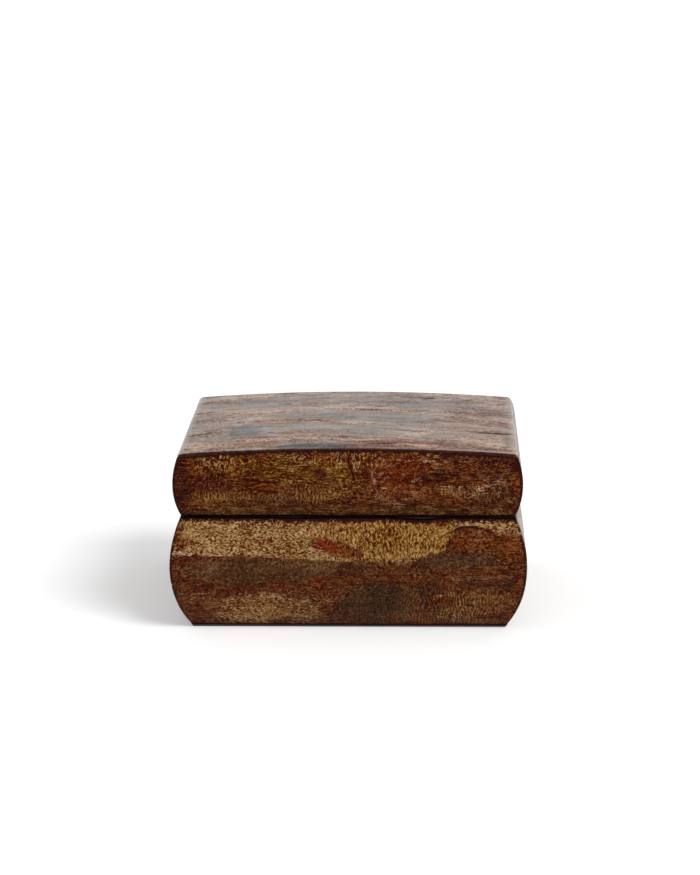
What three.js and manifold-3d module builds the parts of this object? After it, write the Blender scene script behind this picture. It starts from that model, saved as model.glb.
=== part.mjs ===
// A small bellied box covered in cherry bark, with a lift-off lid that fits over an inner lip.
// Units are millimetres, +Z is up, and the origin is the middle of the underside.
// The front looks along -Y, and the width runs along X.
//
// The base and the lid each have a core of four mitred boards, whose outer faces are planed to an arc.
// Bark is glued over each face and mitred at the corners, and thin liners stand inside the base as the lip.
// Each board is drawn as a section in two coordinates: reach, which is how far it lies from the middle
// plane of the box, and height. All four sides have the same insets, so every corner is a 45 degree mitre.

import * as THREE from "three";
import { mergeVertices } from "three/addons/utils/BufferGeometryUtils.js";
import Module from "manifold-3d";

const wasm = await Module();
wasm.setup();

// Overall size, over the bark
const width = 105;
const depth = 80;
const baseHeight = 34.4; // underside to rim
const lidHeight = 18.8; // lower edge to the top edge at the corners
const crownRise = 2; // how much higher the middle of the top is than its left and right edges

// Belly of the base and of the lid: the height of the widest line, and the radius of the arc.
// Heights in the lid are measured from its lower edge.
const baseBellyHeight = 19.5;
const baseBellyRadius = 33.9;
const lidBellyHeight = 9.7;
const lidBellyRadius = 23.1;

// Bark sheets
const sideBark = 0.8;
const topBark = 0.9;
const undersideBark = 0.7;
const liningBark = 0.6;
const edgeRound = 0.5; // how far the burnished edges of the bark are rounded over

// Wooden core and lip
const wallThickness = 3.2; // wall of the base where it is thinnest
const floorThickness = 4;
const rabbetDepth = 1.4; // how far the floor board is let into the walls
const topBoardEdge = 4; // top board at its left and right edges
const linerThickness = 2;
const lipHeight = 5; // how far the liners stand above the rim
const lipRound = 0.6;

// Clearances
const glueLine = 0.1;
const seamGap = 0.3; // between the lid and the rim when the box is closed
const lipClearance = 0.3; // a side, between the lip and the inside of the lid

// Limits: how much of a board's thickness its rounds may take, and how far a cutter runs past what it cuts
const roundShare = 0.7;
const cutterSpare = 1;

// Facets: every arc is drawn in twice as many steps
const bellySteps = 7;
const crownSteps = 10;

const barkBrown = new THREE.MeshStandardMaterial({ color: 0x6b4322, roughness: 0.45, metalness: 0 });
const barkGrey = new THREE.MeshStandardMaterial({ color: 0x6e5a52, roughness: 0.35, metalness: 0 });
const barkRed = new THREE.MeshStandardMaterial({ color: 0x5a2c1c, roughness: 0.35, metalness: 0 });
const darkCore = new THREE.MeshStandardMaterial({ color: 0x2a1710, roughness: 0.5, metalness: 0 });
const cherryWood = new THREE.MeshStandardMaterial({ color: 0x9a5f38, roughness: 0.5, metalness: 0 });

// The four sides. turn is the angle from the front, half is how far the widest line lies from the middle
// plane, and across is the same for the sides next to it.
const sides = [
  { name: "front", turn: 0, half: depth / 2, across: width / 2 },
  { name: "right", turn: Math.PI / 2, half: width / 2, across: depth / 2 },
  { name: "back", turn: Math.PI, half: depth / 2, across: width / 2 },
  { name: "left", turn: -Math.PI / 2, half: width / 2, across: depth / 2 },
];

// A face that bellies outwards in an arc. Its insets are measured from the widest line of the whole box.
class Belly {
  constructor(radius, height, insetAtBelly) {
    this.radius = radius;
    this.height = height;
    this.insetAtBelly = insetAtBelly;
  }

  drop(z) {
    return this.radius - Math.sqrt(this.radius ** 2 - (z - this.height) ** 2);
  }

  inset(z) {
    return this.insetAtBelly + this.drop(z);
  }

  // The face that a sheet of this thickness is glued to.
  under(thickness) {
    return new Belly(this.radius - thickness, this.height, this.insetAtBelly + thickness);
  }

  // Adds the arc to a section, from one height to another.
  draw(section, half, fromZ, toZ) {
    const centre = half - this.insetAtBelly - this.radius;
    const angleAt = (z) => Math.asin((z - this.height) / this.radius);
    section.absarc(centre, this.height, this.radius, angleAt(fromZ), angleAt(toZ), toZ < fromZ);
  }
}

// The lid's lower edge lines up with the rim of the base.
const baseFace = new Belly(baseBellyRadius, baseBellyHeight, 0);
const rimInset = baseFace.inset(baseHeight);
const lidEdgeDrop = new Belly(lidBellyRadius, lidBellyHeight, 0).drop(0);
const lidFace = new Belly(lidBellyRadius, lidBellyHeight, rimInset - lidEdgeDrop);
const baseCore = baseFace.under(sideBark + glueLine);
const lidCore = lidFace.under(sideBark + glueLine);

// Heights in the base
const coreFoot = undersideBark + glueLine;
const floorTop = coreFoot + floorThickness;
const linerFoot = floorTop + liningBark + glueLine;
const lipTop = baseHeight + lipHeight;

// Insets of the straight inner faces
const cavityInset = Math.max(baseCore.inset(coreFoot), baseCore.inset(baseHeight)) + wallThickness;
const lipInset = cavityInset + glueLine;
const linerInset = lipInset + linerThickness;
const lidCavityInset = lipInset - lipClearance;

// Heights in the lid
const topBoardFoot = lidHeight - topBark - glueLine - topBoardEdge;
const lidWallTop = topBoardFoot - glueLine;
const aboveCrown = lidHeight + crownRise + cutterSpare;

// The crown of the top is an arc across the width, through the left and right edges.
const crownChord = width / 2 - lidFace.inset(lidHeight);
const crownRadius = (crownChord ** 2 + crownRise ** 2) / (2 * crownRise);
const crownCentre = lidHeight + crownRise - crownRadius;

// The rounds stay within the boards that carry them: one on the bark, and one on each side of the lip.
const barkRound = Math.min(edgeRound, sideBark * roundShare);
const linerRound = Math.min(lipRound, (linerThickness * roundShare) / 2);

function solidFrom(geometry) {
  const bare = geometry.clone();
  bare.deleteAttribute("normal");
  bare.deleteAttribute("uv");
  const merged = mergeVertices(bare, 1e-4);
  return new wasm.Manifold(
    new wasm.Mesh({
      numProp: 3,
      vertProperties: new Float32Array(merged.attributes.position.array),
      triVerts: new Uint32Array(merged.index.array),
    }),
  );
}

function geometryFrom(solid) {
  const mesh = solid.getMesh();
  const geometry = new THREE.BufferGeometry();
  geometry.setAttribute("position", new THREE.BufferAttribute(mesh.vertProperties, 3));
  geometry.setIndex(new THREE.BufferAttribute(mesh.triVerts, 1));
  const faceted = geometry.toNonIndexed();
  faceted.computeVertexNormals();
  return faceted;
}

function extrude(section, length, steps) {
  return new THREE.ExtrudeGeometry(section, { depth: length, bevelEnabled: false, curveSegments: steps });
}

// Runs a section along the front and ends it on the corner mitres: the further out a point of the section
// lies, the longer the board is there.
function mitredBoard(section, side) {
  const board = extrude(section, 1, bellySteps);
  const place = board.attributes.position;
  for (let i = 0; i < place.count; i += 1) {
    const reach = place.getX(i);
    const height = place.getY(i);
    const end = place.getZ(i) < 0.5 ? 1 : -1;
    const mitre = reach + side.across - side.half - glueLine / 2;
    place.setXYZ(i, end * mitre, -reach, height);
  }
  board.computeVertexNormals();
  return board;
}

// A flat board or sheet, with its lower face at the given height.
function flatSheet(inset, thickness, foot) {
  const sheet = new THREE.BoxGeometry(width - 2 * inset, depth - 2 * inset, thickness);
  return sheet.translate(0, 0, foot + thickness / 2);
}

// The solid inside a belly between two heights: two barrels, one along Y and one along X, crossed.
function bellyBlock(belly, foot, top) {
  const barrel = (half, run) => {
    const edge = new THREE.Path();
    belly.draw(edge, half, foot, top);
    const right = edge.getPoints(bellySteps);
    const left = right.map(({ x, y }) => new THREE.Vector2(-x, y)).reverse();
    const section = new THREE.Shape([...right, ...left]);
    return extrude(section, run, bellySteps).translate(0, 0, -run / 2).rotateX(Math.PI / 2);
  };
  const alongY = solidFrom(barrel(width / 2, depth));
  const alongX = solidFrom(barrel(depth / 2, width).rotateZ(Math.PI / 2));
  return alongY.intersect(alongX);
}

// Everything under the crown, less a sheet of this thickness, as a block along Y.
function belowCrown(sheet) {
  const reach = width / 2;
  const radius = crownRadius - sheet;
  const angle = Math.asin(reach / radius);
  const section = new THREE.Shape();
  section.moveTo(-reach, -cutterSpare);
  section.lineTo(reach, -cutterSpare);
  section.absarc(0, crownCentre, radius, Math.PI / 2 - angle, Math.PI / 2 + angle, false);
  return extrude(section, depth, crownSteps).translate(0, 0, -depth / 2).rotateX(Math.PI / 2);
}

// Base wall: bellied outside and straight inside, with a rabbet for the floor board.
function baseWall(side) {
  const inner = side.half - cavityInset;
  const section = new THREE.Shape();
  baseCore.draw(section, side.half, coreFoot, baseHeight);
  section.lineTo(inner, baseHeight);
  section.lineTo(inner, floorTop);
  section.lineTo(inner + rabbetDepth, floorTop);
  section.lineTo(inner + rabbetDepth, coreFoot);
  return mitredBoard(section, side);
}

// Bark on a base wall, rounded over at the rim.
function baseBark(side) {
  const inside = baseFace.under(sideBark);
  const rim = side.half - rimInset;
  const section = new THREE.Shape();
  baseFace.draw(section, side.half, coreFoot, baseHeight - barkRound);
  section.quadraticCurveTo(rim, baseHeight, rim - barkRound, baseHeight);
  inside.draw(section, side.half, baseHeight, coreFoot);
  return mitredBoard(section, side);
}

// Liner board: it stands on the floor lining and passes the rim as the lip, with both top edges eased.
function lipLiner(side) {
  const outer = side.half - lipInset;
  const inner = side.half - linerInset;
  const section = new THREE.Shape();
  section.moveTo(inner, linerFoot);
  section.lineTo(outer, linerFoot);
  section.lineTo(outer, lipTop - linerRound);
  section.quadraticCurveTo(outer, lipTop, outer - linerRound, lipTop);
  section.lineTo(inner + linerRound, lipTop);
  section.quadraticCurveTo(inner, lipTop, inner, lipTop - linerRound);
  return mitredBoard(section, side);
}

// Lid wall: bellied outside and straight inside, up to the underside of the top board.
function lidWall(side) {
  const inner = side.half - lidCavityInset;
  const section = new THREE.Shape();
  lidCore.draw(section, side.half, 0, lidWallTop);
  section.lineTo(inner, lidWallTop);
  section.lineTo(inner, 0);
  return mitredBoard(section, side);
}

// Bark on a lid wall, rounded over at its lower edge and trimmed to the crown at its upper edge.
// The crown runs along Y, so it is turned back to meet the board before the board is turned to its side.
function lidBark(side) {
  const inside = lidFace.under(sideBark);
  const rim = side.half - rimInset;
  const section = new THREE.Shape();
  section.moveTo(rim - barkRound, 0);
  section.quadraticCurveTo(rim, 0, side.half - lidFace.inset(barkRound), barkRound);
  lidFace.draw(section, side.half, barkRound, aboveCrown);
  inside.draw(section, side.half, aboveCrown, 0);
  const board = solidFrom(mitredBoard(section, side));
  const crown = solidFrom(belowCrown(topBark + glueLine).rotateZ(-side.turn));
  return geometryFrom(board.intersect(crown));
}

// Board over the whole lid: flat below, arched across the width, and bellied with the walls under it.
function topBoard() {
  const block = bellyBlock(lidCore, topBoardFoot, aboveCrown);
  return geometryFrom(block.intersect(solidFrom(belowCrown(topBark + glueLine))));
}

// One sheet of bark over the top, which laps the upper edges of the side bark.
function topSheet() {
  const block = bellyBlock(lidFace, topBoardFoot, aboveCrown);
  const upper = solidFrom(belowCrown(0));
  const lower = solidFrom(belowCrown(topBark));
  return geometryFrom(block.intersect(upper).subtract(lower));
}

function addMesh(group, name, geometry, material, turn = 0) {
  const mesh = new THREE.Mesh(geometry, material);
  mesh.name = name;
  mesh.rotation.z = turn;
  group.add(mesh);
}

function buildBase() {
  const base = new THREE.Group();
  for (const side of sides) {
    addMesh(base, `base_${side.name}_wall`, baseWall(side), darkCore, side.turn);
    addMesh(base, `base_${side.name}_bark`, baseBark(side), barkBrown, side.turn);
    addMesh(base, `${side.name}_lip_liner`, lipLiner(side), cherryWood, side.turn);
  }
  const floorInset = cavityInset - rabbetDepth + glueLine;
  const floorBoard = flatSheet(floorInset, floorThickness - glueLine, coreFoot);
  const lining = flatSheet(cavityInset + glueLine, liningBark, floorTop);
  const underside = geometryFrom(bellyBlock(baseFace, 0, undersideBark));
  addMesh(base, "base_floor_board", floorBoard, darkCore);
  addMesh(base, "base_floor_lining", lining, barkRed);
  addMesh(base, "base_underside_bark", underside, barkRed);
  return base;
}

function buildLid() {
  const lid = new THREE.Group();
  lid.position.z = baseHeight + seamGap;
  for (const side of sides) {
    addMesh(lid, `lid_${side.name}_wall`, lidWall(side), darkCore, side.turn);
    addMesh(lid, `lid_${side.name}_bark`, lidBark(side), barkBrown, side.turn);
  }
  const lining = flatSheet(lidCavityInset + glueLine, liningBark, lidWallTop - liningBark);
  addMesh(lid, "lid_top_board", topBoard(), darkCore);
  addMesh(lid, "lid_ceiling_lining", lining, barkRed);
  addMesh(lid, "lid_top_bark", topSheet(), barkGrey);
  return lid;
}

const box = new THREE.Group();
box.add(buildBase(), buildLid());

export default box;
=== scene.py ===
import math
import random

import bmesh
import bpy
import numpy as np
from bpy.types import NodeSocket
from mathutils import Matrix, Vector, noise


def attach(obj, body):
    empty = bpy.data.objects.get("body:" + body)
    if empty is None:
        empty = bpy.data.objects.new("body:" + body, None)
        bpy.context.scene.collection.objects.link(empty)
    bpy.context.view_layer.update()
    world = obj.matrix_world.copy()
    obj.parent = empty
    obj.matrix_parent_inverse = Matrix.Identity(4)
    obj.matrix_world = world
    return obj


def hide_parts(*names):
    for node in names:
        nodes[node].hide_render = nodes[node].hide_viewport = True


# A bark-covered box with a lift-off lid. Shapes are worked out in millimetres and scaled to metres.
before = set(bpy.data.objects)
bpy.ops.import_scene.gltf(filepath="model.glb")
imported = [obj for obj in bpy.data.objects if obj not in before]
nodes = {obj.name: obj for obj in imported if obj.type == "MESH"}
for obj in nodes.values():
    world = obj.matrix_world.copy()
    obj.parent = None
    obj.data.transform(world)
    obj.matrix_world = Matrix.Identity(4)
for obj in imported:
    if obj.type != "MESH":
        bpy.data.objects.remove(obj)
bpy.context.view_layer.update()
millimetre = 0.001


def linear(colour):
    # A colour as a picture shows it, from 0 to 255, as Blender's own values
    shares = [value / 255 for value in colour]
    return tuple([s / 12.92 if s <= 0.04045 else ((s + 0.055) / 1.055) ** 2.4 for s in shares] + [1.0])


def addObject(name, data):
    made = bpy.data.objects.new(name, data)
    bpy.context.scene.collection.objects.link(made)
    return made


# The camera, fitted to the outline
view = {
    "place": (26.2, -755.4, 238.3),  # mm
    "down": 14.04,  # degrees below level
    "turn": -2.02,  # degrees to the right of straight ahead
    "roll": -0.46,
    "lens": 105.335,  # mm, as is the sensor's width
    "sensor": 36,
    "nearest": 0.01,  # m
}


def addCamera():
    data = bpy.data.cameras.new("camera")
    data.lens = view["lens"]
    data.sensor_width = view["sensor"]
    data.clip_start = view["nearest"]
    camera = addObject("camera", data)
    look = Matrix.Rotation(math.radians(-view["turn"]), 4, "Z")
    tilt = Matrix.Rotation(math.radians(90 - view["down"]), 4, "X")
    roll = Matrix.Rotation(math.radians(view["roll"]), 4, "Z")
    camera.matrix_world = Matrix.Translation(Vector(view["place"]) * millimetre) @ look @ tilt @ roll
    bpy.context.scene.camera = camera


addCamera()
print("camera placed")

# Form of the box, as the CAD part has it, in mm
shell = {
    "halfWidth": 52.5,
    "halfDepth": 40,
    "rim": 34.4,
    "lidFoot": 34.7,
    "lidEdgeTop": 53.5,
    "crownChord": 49.33,  # half of it
    "crownRise": 2,
    "topBark": 0.9,
    "topGlue": 1.0,  # from the crown down to the upper edge of the side bark
    "mitreGap": 0.05,  # on each side of a mitre
}
# Each face is an arc with its middle at this height, and its edges are rounded at foot and top. How far a
# point counts as being from the dark edge: more at the ends, a share of the way to the top and more, and a
# share of the way to the foot.
faces = {
    "base": {"radius": 33.9, "height": 19.5, "inset": 0, "foot": 0.8, "top": shell["rim"], "footRound": 0.25,
             "topRound": 0.5, "darkEdge": (0.3, 0.75, 0, 2), "seed": 0},
    "lid": {"radius": 23.1, "height": 44.4, "inset": 1.315, "foot": shell["lidFoot"],
            "top": shell["lidEdgeTop"], "footRound": 0.5, "topRound": 0.15, "darkEdge": (0, 1, 0.3, 2.5),
            "seed": 40},
}
crownChord = shell["crownChord"]
crownRadius = (crownChord ** 2 + shell["crownRise"] ** 2) / (2 * shell["crownRise"])
crownTop = shell["lidEdgeTop"] + shell["crownRise"]


def faceInset(face, z):
    return face["inset"] + face["radius"] - np.sqrt(face["radius"] ** 2 - (z - face["height"]) ** 2)


def crown(x):
    return crownTop - crownRadius + np.sqrt(crownRadius ** 2 - x ** 2)


def smooth(low, high, value):
    share = np.clip((value - low) / (high - low), 0, 1)
    return share * share * (3 - 2 * share)


def wander(x, z, size, seed):
    # Smooth noise from -1 to 1, with lumps of about this size in mm
    return np.array([noise.noise(Vector((a / size, b / size, seed))) for a, b in zip(x, z)])


def swells(x, z, form, seed):
    # Smooth lumps, from their height and size in mm
    high, size = form
    return high * (0.5 + 0.5 * wander(x, z, size, seed))


def raggedness(x, z, coarse, fine, seed):
    # Noise of two sizes, which frays the borders of marks
    return wander(x, z, coarse, seed) + 0.6 * wander(x, z, fine, seed + 1)


# A spot is (x, z, half length, half height, strength), and its slope where it has one.
# A streak is (x1, z1, x2, z2, half width, strength).
# Borders: how ragged they are, and where they begin and end, as shares of the mark's size
spotBorder = {"ragged": 0.35, "soft": (0.55, 1.25)}
streakBorder = {"ragged": 0.5, "soft": (0.5, 1.15)}


def paintSpots(spots, x, z, ragged):
    mask = np.zeros(len(x))
    for cx, cz, halfLong, halfHigh, strength, *slope in spots:
        across = x - cx
        up = z - cz - (slope[0] if slope else 0) * across
        far = np.hypot(across / halfLong, up / halfHigh) + spotBorder["ragged"] * ragged
        mask = np.maximum(mask, strength * (1 - smooth(*spotBorder["soft"], far)))
    return mask


def paintStreaks(streaks, x, z, ragged):
    mask = np.zeros(len(x))
    for x1, z1, x2, z2, halfWidth, strength in streaks:
        length = math.hypot(x2 - x1, z2 - z1)
        along = ((x - x1) * (x2 - x1) + (z - z1) * (z2 - z1)) / length ** 2
        off = np.abs((x - x1) * (z2 - z1) - (z - z1) * (x2 - x1)) / length
        off = off + halfWidth * streakBorder["ragged"] * ragged
        # Pointed at both ends, and nothing beyond them, where the width would be nought
        width = halfWidth * np.sqrt(np.clip(1 - (2 * along - 1) ** 2, 0, 1)) + 0.001
        border = smooth(*streakBorder["soft"], off / width)
        mask = np.maximum(mask, strength * (1 - border) * (width > 0.01))
    return mask


# Marks in colour, then those that change the texture
spotMarks = ("tan", "gold", "rust", "ember", "ash", "cloud", "pale")
spotMarks += ("upright", "strand", "whorl", "calm", "vein")
marks = spotMarks + ("slit", "lip", "edge", "seamShade")

# The light band along the rim of the base. Its border is sharp on the left, frays to the right, and is sharp
# again beyond the rust eye. A pair is the x where a change begins and the x where it is complete.
band = {
    "fray": (-3, 12),
    "soften": (-3, 14),
    "sharpen": (28.5, 31),
    "lastFingers": (30, 32),
    "lastStepHighlight": (-6, 4),
    "softness": (0.3, 1.9, 1.7),  # at first, what softening adds and what sharpening takes away
    "ragged": (0.45, 0.5),  # at first, and what fraying adds
    "shiftSize": 1.1,
    "fingers": 1.3,
    "fingerSize": 0.8,
    "fingerFlow": 0.25,  # fingers are upright: how slowly they change with height
    "stepHighlight": 0.75,  # strength of the painted highlight, a pale line along the sharp border
    "stepHighlightRise": 0.4,
    "stepHighlightWidth": 0.3,
    "stepHighlightGaps": (-0.2, 0.6),
    "stepHighlightSize": 1.3,
    "goldFoot": 12,  # gold above this height shows in the band only
}
# How deep the surface lies under the plain form, in mm: everywhere, and more under these marks
depths = {"plain": 0.04, "slit": 0.3, "lip": -0.04, "rust": 0.04, "belowBand": 0.1}
sideRagged = (2.6, 0.9)  # mm


def paintBand(features, masks, x, z, ragged, seed):
    # Marks of the ground end at the band's border
    fraying = smooth(*band["fray"], x)
    shifted = x + fraying * wander(x, z, band["shiftSize"], seed + 15)
    border = np.interp(shifted, *np.array(features["bandEdge"]).T)
    first, softer, sharper = band["softness"]
    soft = first + softer * smooth(*band["soften"], x) - sharper * smooth(*band["sharpen"], x)
    soft = soft + features.get("softer", 0)
    fingers = fraying * (1 - smooth(*band["lastFingers"], x))
    fingers = fingers * wander(x, z * band["fingerFlow"], band["fingerSize"], seed + 14)
    plain, frayed = band["ragged"]
    inside = smooth(-soft, soft, z - border + (plain + frayed * fraying) * ragged + band["fingers"] * fingers)
    # Painted highlight: a pale line just inside the band's sharp lower border, where its raised edge catches
    # the light. It goes into the lip mask.
    stepHighlight = np.exp(-((z - border - band["stepHighlightRise"]) / band["stepHighlightWidth"]) ** 2)
    stepHighlight = stepHighlight * (1 - smooth(*band["lastStepHighlight"], x)) * band["stepHighlight"]
    stepHighlight = stepHighlight * smooth(*band["stepHighlightGaps"], wander(x, z, band["stepHighlightSize"], seed + 13))
    masks["lip"] = np.maximum(masks["lip"], stepHighlight)
    inside = inside * (1 - masks["rust"])
    for mark in ("ash", "cloud", "calm", "strand"):
        masks[mark] = masks[mark] * (1 - inside)
    masks["gold"] = masks["gold"] * np.where(z > band["goldFoot"], inside, 1)
    masks["tan"] = np.maximum(masks["tan"], inside)
    return inside


def paintSide(features, x, z, seed):
    # The masks of one side, and how deep its surface lies under the plain form
    ragged = raggedness(x, z, *sideRagged, seed + 11)
    masks = {mark: np.zeros(len(x)) for mark in marks}
    for mark in spotMarks:
        masks[mark] = paintSpots(features[mark], x, z, ragged)
    for mark in ("slit", "lip"):
        masks[mark] = paintStreaks(features[mark], x, z, ragged)
    inBand = paintBand(features, masks, x, z, ragged, seed) if "bandEdge" in features else 0
    masks["dip"] = sum(deep * np.exp(-((x - cx) / wide) ** 2) for cx, wide, deep in features["rimDips"])
    masks["dig"] = depths["plain"] + depths["belowBand"] * (1 - inBand)
    for mark in ("slit", "lip", "rust"):
        masks["dig"] = masks["dig"] + depths[mark] * masks[mark]
    return masks


# Bark sheets: one closed section, run between two mitres. Waves are (height, size), in mm.
sheet = {
    "step": 0.42,  # mm between points
    "thickness": 0.74,
    "cornerRound": 0.55,
    "cornerSteps": 3,
    "roundSteps": 4,
    "innerRows": 8,
    "wave": (0.1, 9),
    "fine": (0.03, 1.1),
    "edgeWave": (0.16, 3.5),  # how far a worn edge wanders
    "edgeFlow": 0.2,  # how slowly that changes with height
    "endInset": 3,  # about how far in the mitres are
    "calmEnd": 4,  # the last stretch before a mitre, where the waves fade
    "wornEdge": 1.6,  # how far from its edge a sheet is worn
    "toEnd": (1.25, -0.25),  # share of the way to a mitre that the dark edge takes, and more
    "edgeReach": 4,
    "seamShade": (0.25, 0.6),  # where the painted shade in the seam ends
}
sharpAngle = 50  # degrees between faces that meet in a sharp edge


def sectionRows(height, footRound, topRound):
    # Each row is (share of the height, rise, way inwards, outer or not)
    steps, innerRows = sheet["roundSteps"], sheet["innerRows"]
    angles = [math.radians(90 * i / steps) for i in range(1, steps + 1)]
    outerRows = round(height / sheet["step"])
    rows = [(0, -footRound * math.sin(a), footRound * (1 - math.cos(a)), 1) for a in reversed(angles)]
    rows += [(i / outerRows, 0, 0, 1) for i in range(outerRows + 1)]
    rows += [(1, topRound * math.sin(a), topRound * (1 - math.cos(a)), 1) for a in angles]
    for i in range(innerRows + 1):
        rise = topRound if i == 0 else -footRound if i == innerRows else 0
        rows.append((1 - i / innerRows, rise, sheet["thickness"], 0))
    return np.array(rows + rows[:1])


def sheetGrid(columns, ends, rows):
    # A flat grid to wrap round a section, and for each point: how far along it is, from -1 to 1, how many
    # steps it is beyond that in a rounded end, and the values of its row
    bm = bmesh.new()
    across, up = columns + 2 * ends, len(rows) - 1
    bmesh.ops.create_grid(bm, x_segments=across, y_segments=up, size=1)
    places = np.array([v.co[:2] for v in bm.verts])
    column = np.rint((places[:, 0] + 1) / 2 * across).astype(int) - ends
    row = np.rint((places[:, 1] + 1) / 2 * up).astype(int)
    flat = np.clip(column / columns * 2 - 1, -1, 1)
    beyond = np.clip(np.maximum(-column, column - columns), 0, ends)
    return bm, flat, beyond, rows[row].T


def wrapSheet(bm, x, y, z, masks):
    # The grid with its points in their places, its masks stored on them, and its seams closed
    layers = {mark: bm.verts.layers.float.new(mark) for mark in marks}
    for i, vert in enumerate(bm.verts):
        vert.co = (x[i] * millimetre, y[i] * millimetre, z[i] * millimetre)
        for mark, layer in layers.items():
            vert[layer] = masks[mark][i]
    bmesh.ops.remove_doubles(bm, verts=bm.verts, dist=1e-7)
    bmesh.ops.holes_fill(bm, edges=[e for e in bm.edges if e.is_boundary], sides=0)


def finishPiece(bm, name, body):
    bmesh.ops.recalc_face_normals(bm, faces=bm.faces)
    bmesh.ops.triangulate(bm, faces=[f for f in bm.faces if len(f.verts) > 4])
    for f in bm.faces:
        f.smooth = True
    mesh = bpy.data.meshes.new(name)
    bm.to_mesh(mesh)
    bm.free()
    mesh.set_sharp_from_angle(angle=math.radians(sharpAngle))
    piece = addObject(name, mesh)
    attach(piece, body)
    return piece


def sideSheet(name, side, part, features):
    half, across, face, atBase = side["half"], side["across"], faces[part], part == "base"
    rows = sectionRows(face["top"] - face["foot"], face["footRound"], face["topRound"])
    columns, ends = round(2 * across / sheet["step"]), sheet["cornerSteps"]
    bm, flat, beyond, (share, rise, inward, outer) = sheetGrid(columns, ends, rows)
    bend = np.radians(beyond / ends * 45) * outer
    rough = flat * (across - sheet["endInset"])
    seed = side["seed"] + face["seed"]
    if atBase:
        top = np.full(len(flat), shell["rim"])
    elif side["along"] == "x":
        top = crown(rough) - shell["topGlue"]
    else:
        top = crown(half - faceInset(face, shell["lidEdgeTop"] - 1) - inward) - shell["topGlue"]
    low, high = face["foot"] + face["footRound"], top - face["topRound"]
    z = low + share * (high - low) + rise

    corner = sheet["cornerRound"] * outer
    plainEnd = across - faceInset(face, z) - inward - shell["mitreGap"]
    masks = paintSide(features, flat * (plainEnd - corner) + np.sign(flat) * corner * np.sin(bend), z, seed)
    nearEnd = smooth(0, sheet["calmEnd"], across - np.abs(rough))
    waves = swells(rough, z, sheet["wave"], seed) * nearEnd
    dig = waves + swells(rough, z, sheet["fine"], seed + 3) + masks["dig"] * nearEnd
    edgeWave = swells(rough, z * sheet["edgeFlow"], sheet["edgeWave"], seed + 7)
    # The rim of the base is worn down, and the lower edge of the lid is worn up
    worn = 1 - smooth(0, sheet["wornEdge"], (top - z) if atBase else (z - face["foot"]))
    z = z - (edgeWave + masks["dip"]) * worn * (1 if atBase else -1)
    inset = faceInset(face, z) + inward + dig * outer
    end = across - inset - shell["mitreGap"]
    inset = inset + corner * (1 - np.cos(bend))
    along = flat * (end - corner) + np.sign(flat) * corner * np.sin(bend)

    endShare, more = sheet["toEnd"]
    fromEnd = (end - np.abs(flat * (end - corner))) * endShare + more
    fromTop, fromFoot, dip = top - z, z - face["foot"], masks["dip"] if atBase else 0
    endMore, topShare, topMore, footShare = face["darkEdge"]
    edge = np.minimum(fromTop * topShare + topMore - dip, fromFoot * footShare)
    # Darker towards the mitres, the top and the foot: partly worn bark, partly painted shade
    masks["edge"] = np.clip(np.minimum(fromEnd + endMore, edge), 0, sheet["edgeReach"]) * outer
    # Painted shade: near-black along the seam between base and lid, where the gap lies in shadow
    masks["seamShade"] = 1 - smooth(*sheet["seamShade"], fromTop - dip if atBase else fromFoot) * outer
    wrapSheet(bm, along, inset - half, z, masks)
    bmesh.ops.rotate(bm, verts=bm.verts, cent=(0, 0, 0), matrix=Matrix.Rotation(side["turn"], 3, "Z"))
    return finishPiece(bm, name, part)


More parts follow.
